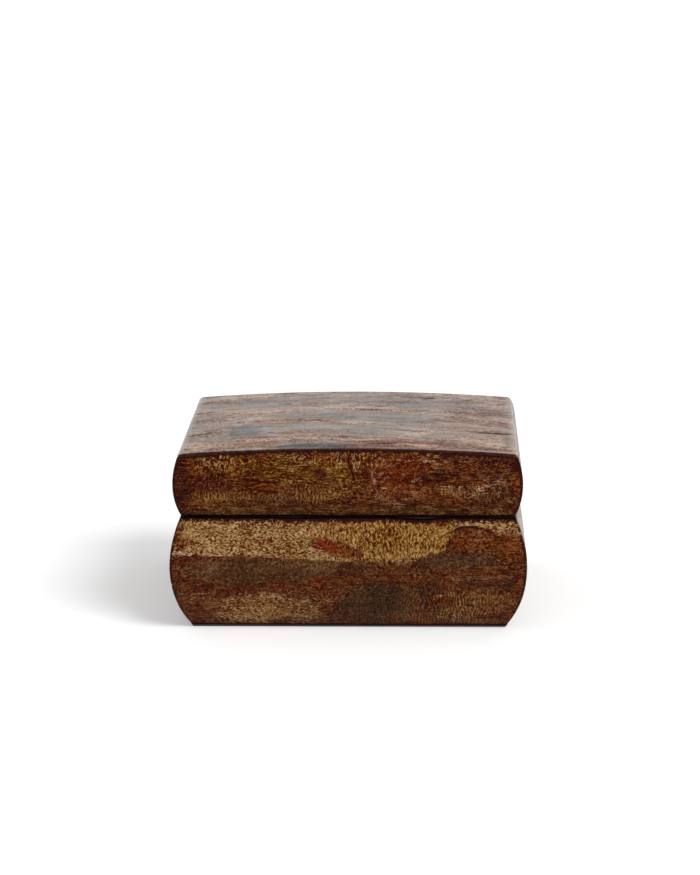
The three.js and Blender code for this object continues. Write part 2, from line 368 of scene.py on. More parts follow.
# What the front of the base shows
frontBase = {
    "bandEdge": [
        (-53, 24.2), (-49, 23.8), (-25, 23.2), (-2, 21.8), (5.5, 22.1), (16.8, 22.4), (22, 23.4),
        (25.2, 24.5), (28.4, 25.8), (30, 28.6), (31.6, 30.8), (33.4, 31.7), (36, 32), (39.2, 31.7),
        (42.7, 30.2), (46, 29.2), (50, 28.6), (53, 28.4)],
    "rimDips": [(21, 5, 0.5), (-14, 9, 0.12), (47, 4, 0.15)],
    "gold": [(20, 28, 26, 9, 0.95), (-24, 6.6, 10, 5, 0.35), (20, 5, 12, 4, 0.14)],
    "tan": [
        (-28.5, 6.6, 13.5, 5.8, 0.85), (-9.5, 9, 5.8, 2.4, 0.5), (-14, 6, 9, 4.4, 0.5),
        (47.5, 28.2, 5, 3, 0.3), (-44, 4, 8, 3, 0.25), (20, 5, 12, 4, 0.15), (40, 9, 12, 5, 0.5),
        (36, 5, 12, 4, 0.45), (46.5, 17, 6, 8, 0.25), (30.6, 11.4, 2, 1.3, 0.7)],
    # Pale spots: lighter bark, and painted highlights at the band's far left end and beside the rust eye
    "pale": [
        (-50.4, 25, 4.4, 1.7, 1), (-9.5, 25.2, 2.4, 1.6, 0.8), (-14, 24, 12, 1.2, 0.4),
        (28, 11.4, 4, 1.5, 0.25), (38, 16.4, 9, 1, 0.35), (-24, 8, 14, 5, 0.5), (-45, 10, 4, 2, 0.4),
        (36, 32.8, 7, 0.9, 0.5), (47, 31, 5, 0.9, 0.5), (30.2, 11.7, 1.4, 0.9, 0.4), (-30, 30, 22, 5, 0.2)],
    "rust": [
        (37, 27.4, 7.4, 3.6, 0.75), (-2.5, 25.6, 7, 2.8, 0.8, -0.2), (-7, 26.4, 5, 2.4, 0.6, -0.2),
        (-20.4, 14.7, 4.6, 1.6, 0.6), (-11.3, 14.4, 4.2, 1.5, 0.6), (-8.3, 16.3, 3, 1.4, 0.6),
        (28.2, 10.3, 4, 1.8, 0.8, 0.1), (19.6, 16.7, 4, 1.4, 0.6), (41.4, 3.6, 5, 1.5, 0.6),
        (-46.5, 7, 8, 7, 0.5), (47.5, 27, 6, 5, 0.6), (46, 6, 8, 9, 0.45), (4, 16.5, 14, 2.5, 0.45),
        (-50, 28, 2.6, 5, 0.6), (-30, 12.6, 16, 1.6, 0.5, 0.04), (-6, 12, 7, 3, 0.35)],
    "ember": [
        (-6.2, 26.5, 3.8, 2, 0.95, -0.3), (-9, 15.4, 3.4, 1.2, 0.45, 0.3), (-20, 14.6, 2.4, 0.8, 0.4),
        (28.4, 10.3, 2.4, 0.9, 0.4, 0.1), (18.8, 16.9, 3.4, 1.2, 0.4, -0.1), (47.5, 28.6, 4, 1.6, 0.35),
        (34, 28, 3, 2, 0.25), (-44.6, 10.8, 2.4, 0.9, 0.4)],
    "ash": [
        (-26, 18.8, 27, 4.6, 0.95), (-1, 20.5, 11, 3.4, 0.7), (12, 13, 18, 7, 0.3), (34, 22, 14, 3.4, 0.45),
        (40, 12, 12, 5, 0.3)],
    "cloud": [
        (8, 8.5, 11, 8, 0.75, 0.15), (30, 22, 12, 3, 0.6, 0.1), (44, 14.5, 7, 2.4, 0.45),
        (24, 13, 6, 3.4, 0.45), (40, 22, 4, 1.6, 0.5), (-38, 14.5, 12, 1.6, 0.25),
        (25.4, 23.8, 4.6, 1.4, 0.75, 0.3), (29, 27.6, 1.3, 2.6, 0.6)],
    "upright": [
        (12, 28, 22, 8, 1), (30, 8, 20, 10, 0.9), (-24, 6, 8, 5, 0.6), (-49, 30, 4, 5, 0.7),
        (-22, 20, 26, 4, 0.6), (-2, 20, 12, 4, 0.6)],
    "strand": [
        (-26, 16, 28, 5, 0.5), (5, 17, 18, 3, 0.8), (42, 17, 12, 5, 0.8), (-46, 7, 8, 8, 0.9),
        (47, 27, 6, 4, 0.9), (-6, 9, 9, 5, 0.3)],
    "vein": [
        (30, 11.6, 4, 1.6, 0.6), (38, 16.6, 10, 2, 0.7), (-10, 25.6, 4, 2.4, 0.6), (-44.6, 11, 4, 1.6, 0.8),
        (37, 30, 8, 3, 0.5)],
    "whorl": [(30, 6, 17, 9, 0.8), (8, 5, 12, 7, 0.5), (18, 26, 10, 6, 0.45), (-4, 30, 10, 4, 0.4)],
    "calm": [
        (-26, 18.5, 27, 4.6, 0.35), (35.8, 28, 7, 3.6, 0.2), (-46, 8, 7, 7, 0.2), (4, 10, 6, 6, 0.5),
        (28, 10.6, 3.6, 1.6, 0.6), (-26, 6.6, 15, 6, 0.2), (34, 7, 17, 8, 0.25)],
    "slit": [
        (31.4, 15.2, 47.5, 14.3, 0.24, 0.7), (37.8, 20.7, 48, 20.7, 0.28, 0.7),
        (34, 8.1, 39, 7.6, 0.3, 0.8), (38, 3.3, 45, 3.9, 0.4, 0.8), (-36, 13.1, -24, 13.9, 0.2, 0.6),
        (24.6, 8.8, 31, 9.3, 0.25, 0.7), (20.2, 16.9, 21, 16.8, 0.4, 0.8), (-3, 18.6, 12, 18.2, 0.16, 0.5),
        (2, 15.6, 14, 15.9, 0.18, 0.5), (29.6, 29.9, 32.4, 31.3, 0.4, 0.95),
        (32.2, 31.2, 36.2, 31.8, 0.4, 0.95), (35.8, 31.8, 39.4, 31.5, 0.4, 0.9),
        (39, 31.6, 42.7, 30, 0.4, 0.9)],
    # Lips: pale raised lips of pores and cracks, and along the band's left border painted highlights
    "lip": [
        (-52.6, 24.4, -45.5, 24, 0.7, 0.9), (-45, 23.9, -33, 23.7, 0.35, 0.6),
        (25.6, 11.2, 31.7, 11.6, 0.3, 0.4), (24.9, 9.9, 27.4, 11.1, 0.25, 0.35),
        (31, 16.2, 46, 15.4, 0.25, 0.45), (27, 29.4, 29.8, 31.3, 0.5, 0.4),
        (29.6, 31.2, 32.6, 32.5, 0.5, 0.45), (32.2, 32.4, 39.6, 32.8, 0.55, 0.45),
        (39.2, 32.7, 43.4, 31.6, 0.5, 0.45), (43, 31.7, 50, 31.1, 0.45, 0.4),
        (17, 17.7, 22, 17.5, 0.25, 0.4), (-12, 26, -9.3, 24.6, 0.5, 0.6), (37.5, 5, 45.4, 5, 0.25, 0.45),
        (-45.6, 11.6, -42.4, 11.9, 0.3, 0.6)],
}
# What the front of the lid shows
frontLid = {
    "rimDips": [(-38, 10, 0.12), (30, 12, 0.1)],
    "gold": [(-24, 49, 24, 5, 0.9), (2, 47, 9, 8, 0.5), (26, 46, 9, 6, 0.6), (-38, 40, 12, 4, 0.5)],
    "tan": [
        (-18, 48, 20, 6, 0.35), (0, 49, 9, 7, 0.7), (-40, 50, 9, 4, 0.4), (27, 50, 7, 4, 0.3),
        (25, 42, 9, 3, 0.4), (-42, 41, 7, 3, 0.3), (-4, 43, 9, 4, 0.45), (-12, 41.5, 4, 3.5, 0.4),
        (44, 42, 6, 3, 0.15)],
    "pale": [
        (9.5, 44, 3, 4, 0.4), (14.5, 39.6, 3, 2.5, 0.4), (20, 43, 2.5, 3.4, 0.3), (34, 42.4, 6, 2.2, 0.35),
        (44, 44, 6, 3, 0.35), (40, 43.4, 3, 1.8, 0.9), (25, 51.5, 5, 1.8, 0.5), (9, 51, 4, 3, 0.35),
        (17, 51, 3.4, 2.2, 0.5), (15, 44, 4, 2, 0.15), (-2.2, 52.6, 2.8, 2, 0.9), (2.8, 51.6, 1.4, 3, 0.8),
        (-14, 51, 6, 2.4, 0.4), (-38, 51, 7, 2.4, 0.4), (-41, 41.4, 8, 2.6, 0.2), (-16, 45, 7, 2, 0.3)],
    "rust": [
        (0.7, 52, 0.7, 2.5, 1), (13.5, 47.5, 8, 8, 0.95), (21, 46, 6, 7, 0.6),
        (-25, 45.1, 7, 1.6, 0.7, -0.14), (-25, 43.2, 6, 1.2, 0.6, -0.13), (39.6, 44.9, 3, 1.6, 0.8),
        (50, 45, 3, 5, 0.7), (16, 49, 10, 5, 0.9), (-26, 53, 6, 1.6, 0.6), (38, 50, 13, 4.5, 0.6),
        (-36, 46, 12, 6, 0.45), (-8, 52, 7, 2, 0.35), (28, 45, 8, 5, 0.35), (4, 40, 8, 3, 0.35)],
    "ember": [
        (-25.5, 43, 4, 0.5, 0.12, -0.13), (39.6, 44.9, 1.6, 0.8, 0.7), (50.4, 45.1, 1.6, 1.6, 0.8),
        (-26, 53, 3, 0.9, 0.5), (5, 41, 4, 2, 0.3)],
    "ash": [
        (-22, 40, 12, 2.6, 0.7), (-40, 41, 9, 3, 0.5), (45, 40.4, 7, 3.4, 0.8), (12, 40.4, 10, 2.4, 0.5),
        (0, 36.3, 60, 2.2, 0.85)],
    "cloud": [
        (-49.5, 46, 4.4, 12, 0.7), (-38.5, 45.5, 7, 4.4, 0.5), (36, 47.3, 2.6, 1.1, 0.7),
        (49.6, 50, 3, 3, 1), (23, 46.4, 2.4, 1.2, 0.7), (40, 52, 12, 3, 0.65), (28, 47.6, 9, 2.6, 0.5),
        (42, 48, 8, 3, 0.65), (36, 45, 11, 2.6, 0.35), (13, 38, 10, 2, 0.4), (3, 41, 6, 3, 0.3),
        (-20, 38.5, 12, 1.6, 0.4)],
    "upright": [
        (-40, 50, 10, 5, 1), (-42, 41, 9, 4, 0.8), (2, 51, 9, 4, 0.9), (-12, 42, 6, 4, 0.8),
        (14, 46, 9, 8, 0.5), (46, 41, 8, 4, 0.7)],
    "strand": [
        (-18, 47, 20, 5, 0.95), (0, 46, 9, 5, 0.7), (28, 47, 20, 6, 0.9), (0, 37, 60, 3, 1),
        (24, 40, 14, 3, 0.8), (-48, 46, 5, 10, 0.8)],
    "vein": [
        (11, 45, 6, 8, 0.9), (20, 44, 5, 5, 0.8), (36, 44, 12, 4, 1), (27, 51, 9, 2.6, 0.8),
        (42, 49, 8, 3, 0.6)],
    "whorl": [
        (-12, 42, 5, 3.6, 0.8), (-28, 40.5, 9, 2.6, 0.6), (33, 43.5, 9, 3, 0.5), (-40, 42, 8, 4, 0.5)],
    "calm": [
        (0.7, 52, 0.8, 2.6, 0.8), (13.5, 47.5, 7, 7, 0.2), (0, 36.2, 60, 2.4, 0.2), (-49, 45, 3, 10, 0.3)],
    "slit": [
        (1.3, 54.6, 0.3, 52.6, 0.4, 1), (0.3, 52.6, 0.35, 50.5, 0.5, 1), (0.35, 50.5, 1.7, 47.8, 0.55, 1),
        (1.7, 47.8, 1.9, 45.4, 0.45, 0.9), (-4.6, 46.05, -3.2, 46.1, 0.3, 1),
        (-6.9, 46.3, -5.9, 46.5, 0.3, 0.9), (-7, 48.1, -4, 47.9, 0.3, 0.7), (2.6, 46.9, 3.2, 47.2, 0.45, 1),
        (4.2, 45.7, 5, 45.5, 0.3, 0.9), (2.8, 44.9, 3.2, 44.7, 0.45, 0.8),
        (31.5, 51.3, 37.6, 50.9, 0.25, 0.7), (25.8, 46.1, 27.9, 46, 0.3, 0.9),
        (28, 47.6, 31, 47.4, 0.5, 0.7), (32, 44.8, 33.4, 44.7, 0.3, 0.8),
        (-30.4, 46.2, -19.7, 44.9, 0.45, 0.95), (-29.6, 43.4, -20.6, 42.2, 0.45, 0.95),
        (35, 47.6, 38.2, 47.2, 0.45, 0.7), (48.4, 51, 51.6, 49, 2, 1), (35, 47.8, 38, 47.2, 0.9, 0.9),
        (21.6, 46.8, 24.4, 45.6, 0.8, 0.7), (-32, 39.8, -22, 39.2, 0.2, 0.5)],
    # Lips: pale raised lips of pores and cracks, on the right partly painted highlights around the cracks
    "lip": [
        (30.5, 43.6, 37, 41.6, 0.25, 0.5), (38, 43.6, 42.4, 44.6, 0.35, 0.6),
        (36, 41.4, 42, 42.6, 0.3, 0.4), (1.7, 54, 1.4, 50.6, 0.45, 0.9), (1.8, 50.2, 2.5, 48.6, 0.35, 0.7),
        (7.1, 48.8, 7.3, 47, 0.35, 0.8), (7.3, 47, 8.3, 44.2, 0.35, 0.7), (32, 51.6, 37.4, 51.4, 0.25, 0.5),
        (27.7, 51.2, 29.6, 51.1, 0.25, 0.4), (25.4, 44.6, 30.2, 44.2, 0.25, 0.6),
        (26, 43.5, 29.4, 43.3, 0.25, 0.6), (32.2, 44.1, 34.2, 44.1, 0.25, 0.5),
        (19, 52, 19.8, 51.6, 0.35, 0.8), (21, 52, 21.8, 51.8, 0.35, 0.7),
        (18.4, 50.5, 19.5, 50.6, 0.3, 0.7), (16.2, 48, 17, 47, 0.4, 0.5), (9.4, 44, 12.4, 43.4, 0.3, 0.5),
        (8.6, 43.4, 7.6, 40, 0.25, 0.4), (18.6, 44, 19.6, 40.6, 0.3, 0.4), (18, 53, 16, 48, 0.25, 0.3),
        (21.5, 52, 25, 51, 0.3, 0.4), (13, 40.8, 15.4, 38.2, 0.35, 0.4), (40.6, 47.2, 46, 45.2, 0.22, 0.3),
        (-31, 46.6, -24, 45.9, 0.2, 0.3)],
}

# Marks for the sides that no picture shows, of the same kinds and sizes, in the order of their draws.
# Each is (how many to every 14 square cm, how many more, half length, half height, strength).
invented = {
    "tan": (3, 1, 12, 4.5, 0.6),
    "gold": (4, 2, 14, 6, 0.9),
    "pale": (6, 2, 6, 2, 0.5),
    "rust": (7, 1, 6, 2.6, 0.7),
    "ash": (3, 1, 13, 4, 0.8),
    "cloud": (4, 1, 8, 4, 0.7),
    "whorl": (2, 1, 12, 5, 0.55),
    "calm": (3, 1, 9, 4, 0.4),
    "ember": (6, 1, 2.6, 1, 0.7),
    "strand": (4, 2, 15, 5, 1),
    "upright": (4, 2, 12, 6, 1),
    "slit": (8, 2, 8, 0.3, 0.65),
    "vein": (4, 2, 9, 3.5, 0.7),
}
inventedReach = {"base": (2, 33), "lid": (36.5, 53)}  # lowest and highest z
inventedLip = {"above": 0.3, "halfWidth": 0.22, "strength": 0.4}  # the pale line along every second slit: a raised lip, partly a painted highlight


def inventMarks(part, side, seed):
    draw = random.Random(seed)
    low, high = inventedReach[part]
    reach = side["across"] - 6  # clear of the mitres
    area = 2 * reach * (high - low) / 1400

    def spot(long, tall, strength):
        x, z, size = draw.uniform(-reach, reach), draw.uniform(low, high), draw.uniform(0.6, 1.3)
        slope, share = draw.uniform(-0.1, 0.1), draw.uniform(0.7, 1)
        return x, z, long * size, tall * size, strength * share, slope

    def streak(long, width, strength):
        x, z, size = draw.uniform(-reach, reach), draw.uniform(low, high), draw.uniform(0.5, 1.3)
        slope = draw.uniform(-0.09, 0.09)
        return x, z, x + long * size, z + long * size * slope, width * size, strength

    style = {"softer": 0.8, "rimDips": [(draw.uniform(-reach, reach), 6, 0.2) for _ in range(3)]}
    for mark, (share, more, *form) in invented.items():
        make = streak if mark == "slit" else spot
        style[mark] = [make(*form) for _ in range(round(share * area) + more)]
    style["lip"] = []
    for x1, z1, x2, z2, width, _ in style["slit"][::2]:
        up = width + inventedLip["above"]
        style["lip"].append((x1, z1 + up, x2, z2 + up, inventedLip["halfWidth"], inventedLip["strength"]))
    if part == "base":
        turnPoint = draw.uniform(-0.3, 0.5) * reach
        left, before, at, after = [draw.uniform(*ends) for ends in ((20, 26), (20, 25), (25, 28), (28, 31))]
        style["bandEdge"] = [(-60, left), (turnPoint - 9, before), (turnPoint, at),
                             (turnPoint + 6, after), (60, 31)]
    else:
        style["calm"].append((0, 36.4, 70, 2.8, 0.9))
    return style


longSide = {"half": shell["halfDepth"], "across": shell["halfWidth"], "along": "x"}
shortSide = {"half": shell["halfWidth"], "across": shell["halfDepth"], "along": "y"}
sides = [
    {"name": "front", "turn": 0, "seed": 1, **longSide},
    {"name": "right", "turn": math.pi / 2, "seed": 2, **shortSide},
    {"name": "back", "turn": math.pi, "seed": 3, **longSide},
    {"name": "left", "turn": -math.pi / 2, "seed": 4, **shortSide},
]
barkPieces = {}
for side in sides:
    for part, known in (("base", frontBase), ("lid", frontLid)):
        seed = side["seed"] * 10 + len(part)
        features = known if side["name"] == "front" else inventMarks(part, side, seed)
        name = f"{part}_{side['name']}_bark_sheet"
        piece = sideSheet(name, side, part, features)
        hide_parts(f"{part}_{side['name']}_bark")
        barkPieces[name] = piece
print("side bark laid:", len(barkPieces), "sheets")

# The sheet over the top. Waves are (height, size), in mm.
topSheetForm = {
    "step": 0.5,
    "edgeRound": (1.3, 0.5),  # at the ends, and at the front and back
    "edgeDepth": (0.85, 0.5),
    "deepest": 0.8,  # of the rounding and the wear
    "skirt": 0.86,  # how far down the rounded edge ends
    "cornerRound": 1.2,
    "roundSteps": 4,
    "lowerRows": 4,
    "roughDepth": 36,  # about half the sheet's depth
    "edgeWave": (0.2, 5),
    "wave": (0.12, 7),
    "ripple": (0.05, 1.2),
    "slitDepth": 0.3,
    "groundDepth": 0.12,  # of what isn't tan
    "frontWear": 0.6,  # how much lower the front edge is worn in its middle
    "wearReach": 44,  # half the length of that
    "wearRows": (-37, -32.5),
    "calmEnds": (0.4, 2.2),
    "flatEdge": 2.5,  # the last stretch before an edge, where the waves fade
    "endMore": 0.6,  # how much farther from the dark edge the ends count
    "edgeReach": 4,
    "ragged": (3.2, 1.1),
    "streaks": {"tan": (2.3, 0.9), "slit": (1.6, 1)},  # how much wider they are laid, and how strong
}
topMarks = {
    "tan": [
        (-48.5, 28.1, -23.3, 33.7, 0.9, 0.6), (-49.3, 13, -35.1, 18.3, 1.3, 0.6),
        (-39.2, 10.6, -12.6, 10.5, 1.5, 0.75), (-49.6, 2.6, -34.9, 5.6, 1.1, 0.7),
        (-34.5, -0.7, -13.6, -1.1, 1.2, 0.95), (-14, -1.1, -0.4, -6.2, 1, 0.9),
        (-49.4, -15.7, -34.5, -10.5, 1.4, 0.6), (-22.4, -16.1, -11.6, -17.3, 1.2, 0.95),
        (-36, -29.4, -19.8, -24.2, 3, 0.95), (-22, -24.2, 2, -24.2, 1.8, 0.8),
        (-50, -31.1, -31, -31, 3, 0.7), (-20.9, 20.2, -7.2, 20.1, 1, 0.7), (-8.9, 14.3, 0, 12.7, 0.9, 0.6),
        (-3.8, 12.7, 21.4, 10.3, 1, 0.8), (21.4, 11.6, 43, 12.8, 1.1, 0.7), (30, 4.6, 49, 1, 1, 0.7),
        (-4, -6.8, 8, -5.4, 0.9, 0.8), (19.6, -16.2, 24.4, -15.6, 1.2, 0.95),
        (0, -28.4, 40, -30.1, 2.4, 0.9), (34, -28.2, 50, -30.7, 2.4, 0.8), (23.3, 35.1, 47.9, 36.2, 1, 0.8),
        (7.7, 23.7, 16.5, 21.7, 0.8, 0.5), (32.9, 28.6, 47.7, 26, 0.8, 0.6), (26, -22, 50, -20, 2, 0.4),
        (10, -12, 34, -11, 1.4, 0.35), (-6, 30, 30, 31, 1.2, 0.35), (-30, 24, -14, 25, 1, 0.3)],
    "cloud": [
        (-31.5, -14, 6, 9, 0.75), (-10.4, -34, 12, 3.6, 1), (24.2, -21.8, 4.6, 3.2, 0.5),
        (-28.5, 26, 3.4, 4.4, 0.3), (-5.6, 5, 6.4, 4, 0.25), (12.5, -1.8, 13, 5, 0.25),
        (-44, 22, 7, 3, 0.2), (-18, 16, 9, 3, 0.2), (20, 17, 9, 4, 0.2), (2, -17, 9, 4, 0.4),
        (-44, -4, 5, 4, 0.2)],
    "rust": [
        (38, -5, 15, 22, 0.6), (46, 20, 8, 14, 0.5), (-25, -28, 9, 3, 0.4), (22, -16, 3, 1.4, 0.8),
        (10, -34, 44, 5, 0.85), (16, -26, 26, 6, 0.55), (-40, -28, 10, 8, 0.4)],
    "ash": [
        (8, 2, 16, 6, 0.9), (6, -13, 9, 5, 0.7), (-27, -13, 9, 8, 0.7), (-24, 22, 24, 7, 0.6),
        (-11, 5.8, 14, 5, 0.6), (-9, -10, 12, 4, 0.7), (7, 27, 10, 5, 0.6), (22, 20, 10, 6, 0.7)],
    "slit": [
        (-49, 28.2, -41, 29.4, 0.35, 0.8), (-49.4, 13, -43, 15.1, 0.4, 0.8),
        (-49.5, -15.6, -41, -12.4, 0.45, 0.9), (-49, -30.6, -46, -30.3, 0.35, 0.8),
        (0, 11.9, 10, 11.1, 0.4, 0.8), (36.3, -12.4, 48, -12.6, 0.45, 1), (5.3, -31.3, 15, -30.7, 0.4, 0.9),
        (14.8, 28.4, 26.1, 28.9, 0.35, 0.7), (44, 1.8, 48.4, 0.8, 0.4, 0.9), (30, 5.2, 36, 4.2, 0.35, 0.8),
        (-24, 20.4, -19, 20.3, 0.3, 0.8), (-9, 20.2, -4, 20, 0.25, 0.6),
        (-24.6, -16, -22, -16.1, 0.35, 0.8), (-16, -1, -6, -3.2, 0.25, 0.5), (40, 13, 46, 13, 0.25, 0.6),
        (18, 36, 30, 36.4, 0.2, 0.5), (-38, 10.2, -33, 10.4, 0.3, 0.5), (14, 23.2, 20, 22.6, 0.25, 0.6)],
}


def topSheet():
    form, steps, lowerRows = topSheetForm, topSheetForm["roundSteps"], topSheetForm["lowerRows"]
    lowest, skirt = shell["topBark"], form["skirt"]
    bends = [math.sin(math.radians(90 * i / steps)) for i in range(1, steps + 1)]
    upperRows = round(2 * form["roughDepth"] / form["step"])
    # Each row is (share of the depth, rounding, way down the edge or under)
    rows = [(-1, -b, 0) for b in reversed(bends)]
    rows += [(2 * i / upperRows - 1, 0, 0) for i in range(upperRows + 1)]
    rows += [(1, b, 0) for b in bends] + [(1, 1, skirt), (1, 1, lowest)]
    rows += [(1 - 2 * i / lowerRows, 0, lowest) for i in range(1, lowerRows)]
    rows += [(-1, -1, lowest), (-1, -1, skirt), rows[0]]
    columns = round(2 * crownChord / form["step"])
    bm, flatX, beyond, (share, bendY, down) = sheetGrid(columns, steps, np.array(rows))

    # The rounded edges, and the wear of the front one
    bendX = np.sin(np.radians(90 * beyond / steps)) * np.sign(flatX)
    turned = np.hypot(bendX, bendY)
    shrink = 1 / np.maximum(turned, 1)
    deepX, deepY = form["edgeDepth"]
    deep = (deepX * bendX ** 2 + deepY * bendY ** 2) / np.maximum(turned ** 2, 1e-9)
    fall = deep * (1 - np.sqrt(np.clip(1 - np.minimum(turned, 1) ** 2, 0, 1)))
    roughX, roughY = flatX * crownChord, share * form["roughDepth"]
    worn = form["frontWear"] * np.clip(1 - (roughX / form["wearReach"]) ** 2, 0, 1)
    worn = worn * (1 - smooth(*form["wearRows"], roughY + bendY))
    z = crown(roughX) - np.maximum(np.minimum(fall + worn, form["deepest"]), down)

    # The outline, with its corners rounded
    inset = faceInset(faces["lid"], z)
    wear = swells(roughX, roughY, form["edgeWave"], 61)
    reachX, reachY = shell["halfWidth"] - inset - wear, shell["halfDepth"] - inset - wear
    radiusX, radiusY = form["edgeRound"]
    x = flatX * (reachX - radiusX) + bendX * radiusX * shrink
    y = share * (reachY - radiusY) + bendY * radiusY * shrink
    corner = form["cornerRound"]
    cornerX, cornerY = [np.clip((np.abs(place) - reach) / corner + 1, 0, 1)
                        for place, reach in ((x, reachX), (y, reachY))]
    x = x - np.sign(x) * corner * cornerX * (1 - np.sqrt(1 - cornerY ** 2 / 2))
    y = y - np.sign(y) * corner * cornerY * (1 - np.sqrt(1 - cornerX ** 2 / 2))

    ragged = raggedness(x, y * 2, *form["ragged"], 71)
    masks = {mark: np.zeros(len(x)) for mark in marks}
    for mark, (wider, strong) in form["streaks"].items():
        streaks = [(*ends, width * wider, strength * strong) for *ends, width, strength in topMarks[mark]]
        masks[mark] = paintStreaks(streaks, x, y, ragged)
    for mark in ("cloud", "rust", "ash"):
        masks[mark] = paintSpots(topMarks[mark], x, y, ragged)
    toEnd, toFront, upper = reachX - np.abs(x), reachY - np.abs(y), down < 0.01
    masks["calm"] = 1 - smooth(*form["calmEnds"], toEnd)
    # All that lies lower than the face is dark, but less so at the ends: the cut edge's colour, partly
    # painted shade under the top's edge
    fromEnd, fromFront = [np.clip(far, 0, form["edgeReach"]) for far in (toEnd, toFront)]
    onTop = np.minimum(fromEnd + form["endMore"], fromFront)
    masks["edge"] = np.where(upper, onTop, form["endMore"] * (beyond == steps))
    waves = swells(x * 0.5, y, form["wave"], 63) + swells(x * 0.15, y, form["ripple"], 64)
    dig = waves + form["slitDepth"] * masks["slit"] + form["groundDepth"] * (1 - masks["tan"])
    z = z - dig * smooth(0, form["flatEdge"], np.minimum(toEnd, toFront)) * upper
    wrapSheet(bm, x, y, z, masks)
    return finishPiece(bm, "lid_top_bark_sheet", "lid")


topPiece = topSheet()
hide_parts("lid_top_bark")
print("top bark laid:", len(topPiece.data.vertices), "points")

# The sheet under the foot. Its edges are rounded by (radius, steps).
undersideForm = {"thickness": 0.7, "cornerRound": (0.5, 4), "round": (0.25, 3), "border": 0.1}


def undersideSheet():
    form, face, thick = undersideForm, faces["base"], undersideForm["thickness"]
    bm = bmesh.new()
    bmesh.ops.create_cube(bm, size=2)
    for vert in bm.verts:
        z = thick * (vert.co.z + 1) / 2
        inset = faceInset(face, z)
        vert.co = (vert.co.x * (shell["halfWidth"] - inset), vert.co.y * (shell["halfDepth"] - inset), z)

    def roundOff(edges, size, steps):
        bmesh.ops.bevel(bm, geom=edges, offset=size, segments=steps, profile=0.5, affect="EDGES", material=-1)

    upright = [e for e in bm.edges if abs(e.verts[0].co.z - e.verts[1].co.z) > thick / 2]
    roundOff(upright, *form["cornerRound"])
    roundOff([e for e in bm.edges if max(v.co.z for v in e.verts) < 0.01], *form["round"])
    bm.normal_update()
    flats = [f for f in bm.faces if abs(f.normal.z) > 0.99]
    bmesh.ops.inset_individual(bm, faces=flats, thickness=form["border"])
    bmesh.ops.scale(bm, verts=bm.verts, vec=(millimetre, millimetre, millimetre))
    return finishPiece(bm, "base_underside_bark_sheet", "base")


undersidePiece = undersideSheet()
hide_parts("base_underside_bark")


# Materials
def add(kind, values, tree=None, **settings):
    # A node, with its values or the sockets that feed it, in the tree of those sockets
    tree = tree or next(value.id_data for value in values.values() if isinstance(value, NodeSocket))
    made = tree.nodes.new(kind)
    for name, value in settings.items():
        setattr(made, name, value)
    for name, value in values.items():
        if isinstance(value, NodeSocket):
            tree.links.new(value, made.inputs[name])
        else:
            made.inputs[name].default_value = value
    return made.outputs


def sums(operation, a, b=0.0):
    return add("ShaderNodeMath", {0: a, 1: b}, operation=operation)[0]


def plus(a, b):
    return sums("ADD", a, b)


def minus(a, b):
    return sums("SUBTRACT", a, b)


def times(a, b):
    return sums("MULTIPLY", a, b)


def swing(level, value, amount):
    # A level that a noise moves up and down, and leaves where it is at the noise's middle
    return plus(level, times(minus(value, 0.5), amount))


def mapRange(value, low, high, toLow=0.0, toHigh=1.0, kind="SMOOTHSTEP"):
    ends = {"Value": value, "From Min": low, "From Max": high, "To Min": toLow, "To Max": toHigh}
    return add("ShaderNodeMapRange", ends, interpolation_type=kind)[0]


def mixColour(share, first, second):
    return add("ShaderNodeMix", {0: share, 6: first, 7: second}, data_type="RGBA")[2]


def mixValue(share, first, second):
    return add("ShaderNodeMix", {0: share, 2: first, 3: second}, data_type="FLOAT")[0]


def mixTones(share, stages, tones):
    return [mixColour(share, stage, linear(tone)) for stage, tone in zip(stages, tones)]


def moved(vector, shift):
    return add("ShaderNodeVectorMath", {0: vector, 1: shift}, operation="ADD")[0]


def scaled(vector, scale):
    return add("ShaderNodeVectorMath", {0: vector, "Scale": scale}, operation="SCALE")[0]


def fineNoise(vector, scale, detail=2.0, rough=0.5):
    values = {"Vector": vector, "Scale": scale, "Detail": detail, "Roughness": rough}
    return add("ShaderNodeTexNoise", values)[0]


def drawnOut(vector, stretch, detail=2.0, rough=0.5, scale=1.0):
    # Noise whose grains are the longer along an axis, the lower its stretch there
    place = add("ShaderNodeMapping", {"Vector": vector, "Scale": stretch})[0]
    return fineNoise(place, scale, detail, rough)


def newGroup(name, given):
    # A node group with these inputs: a number each, or a vector where that is None
    group = bpy.data.node_groups.new(name, "ShaderNodeTree")
    for label, value in given.items():
        kind = "NodeSocketVector" if value is None else "NodeSocketFloat"
        socket = group.interface.new_socket(name=label, in_out="INPUT", socket_type=kind)
        if value is not None:
            socket.default_value = value
    return group, group.nodes.new("NodeGroupInput").outputs


def closeGroup(group, results):
    for label in results:
        group.interface.new_socket(name=label, in_out="OUTPUT", socket_type="NodeSocketFloat")
    end = group.nodes.new("NodeGroupOutput")
    for label, socket in results.items():
        group.links.new(socket, end.inputs[label])
    return group


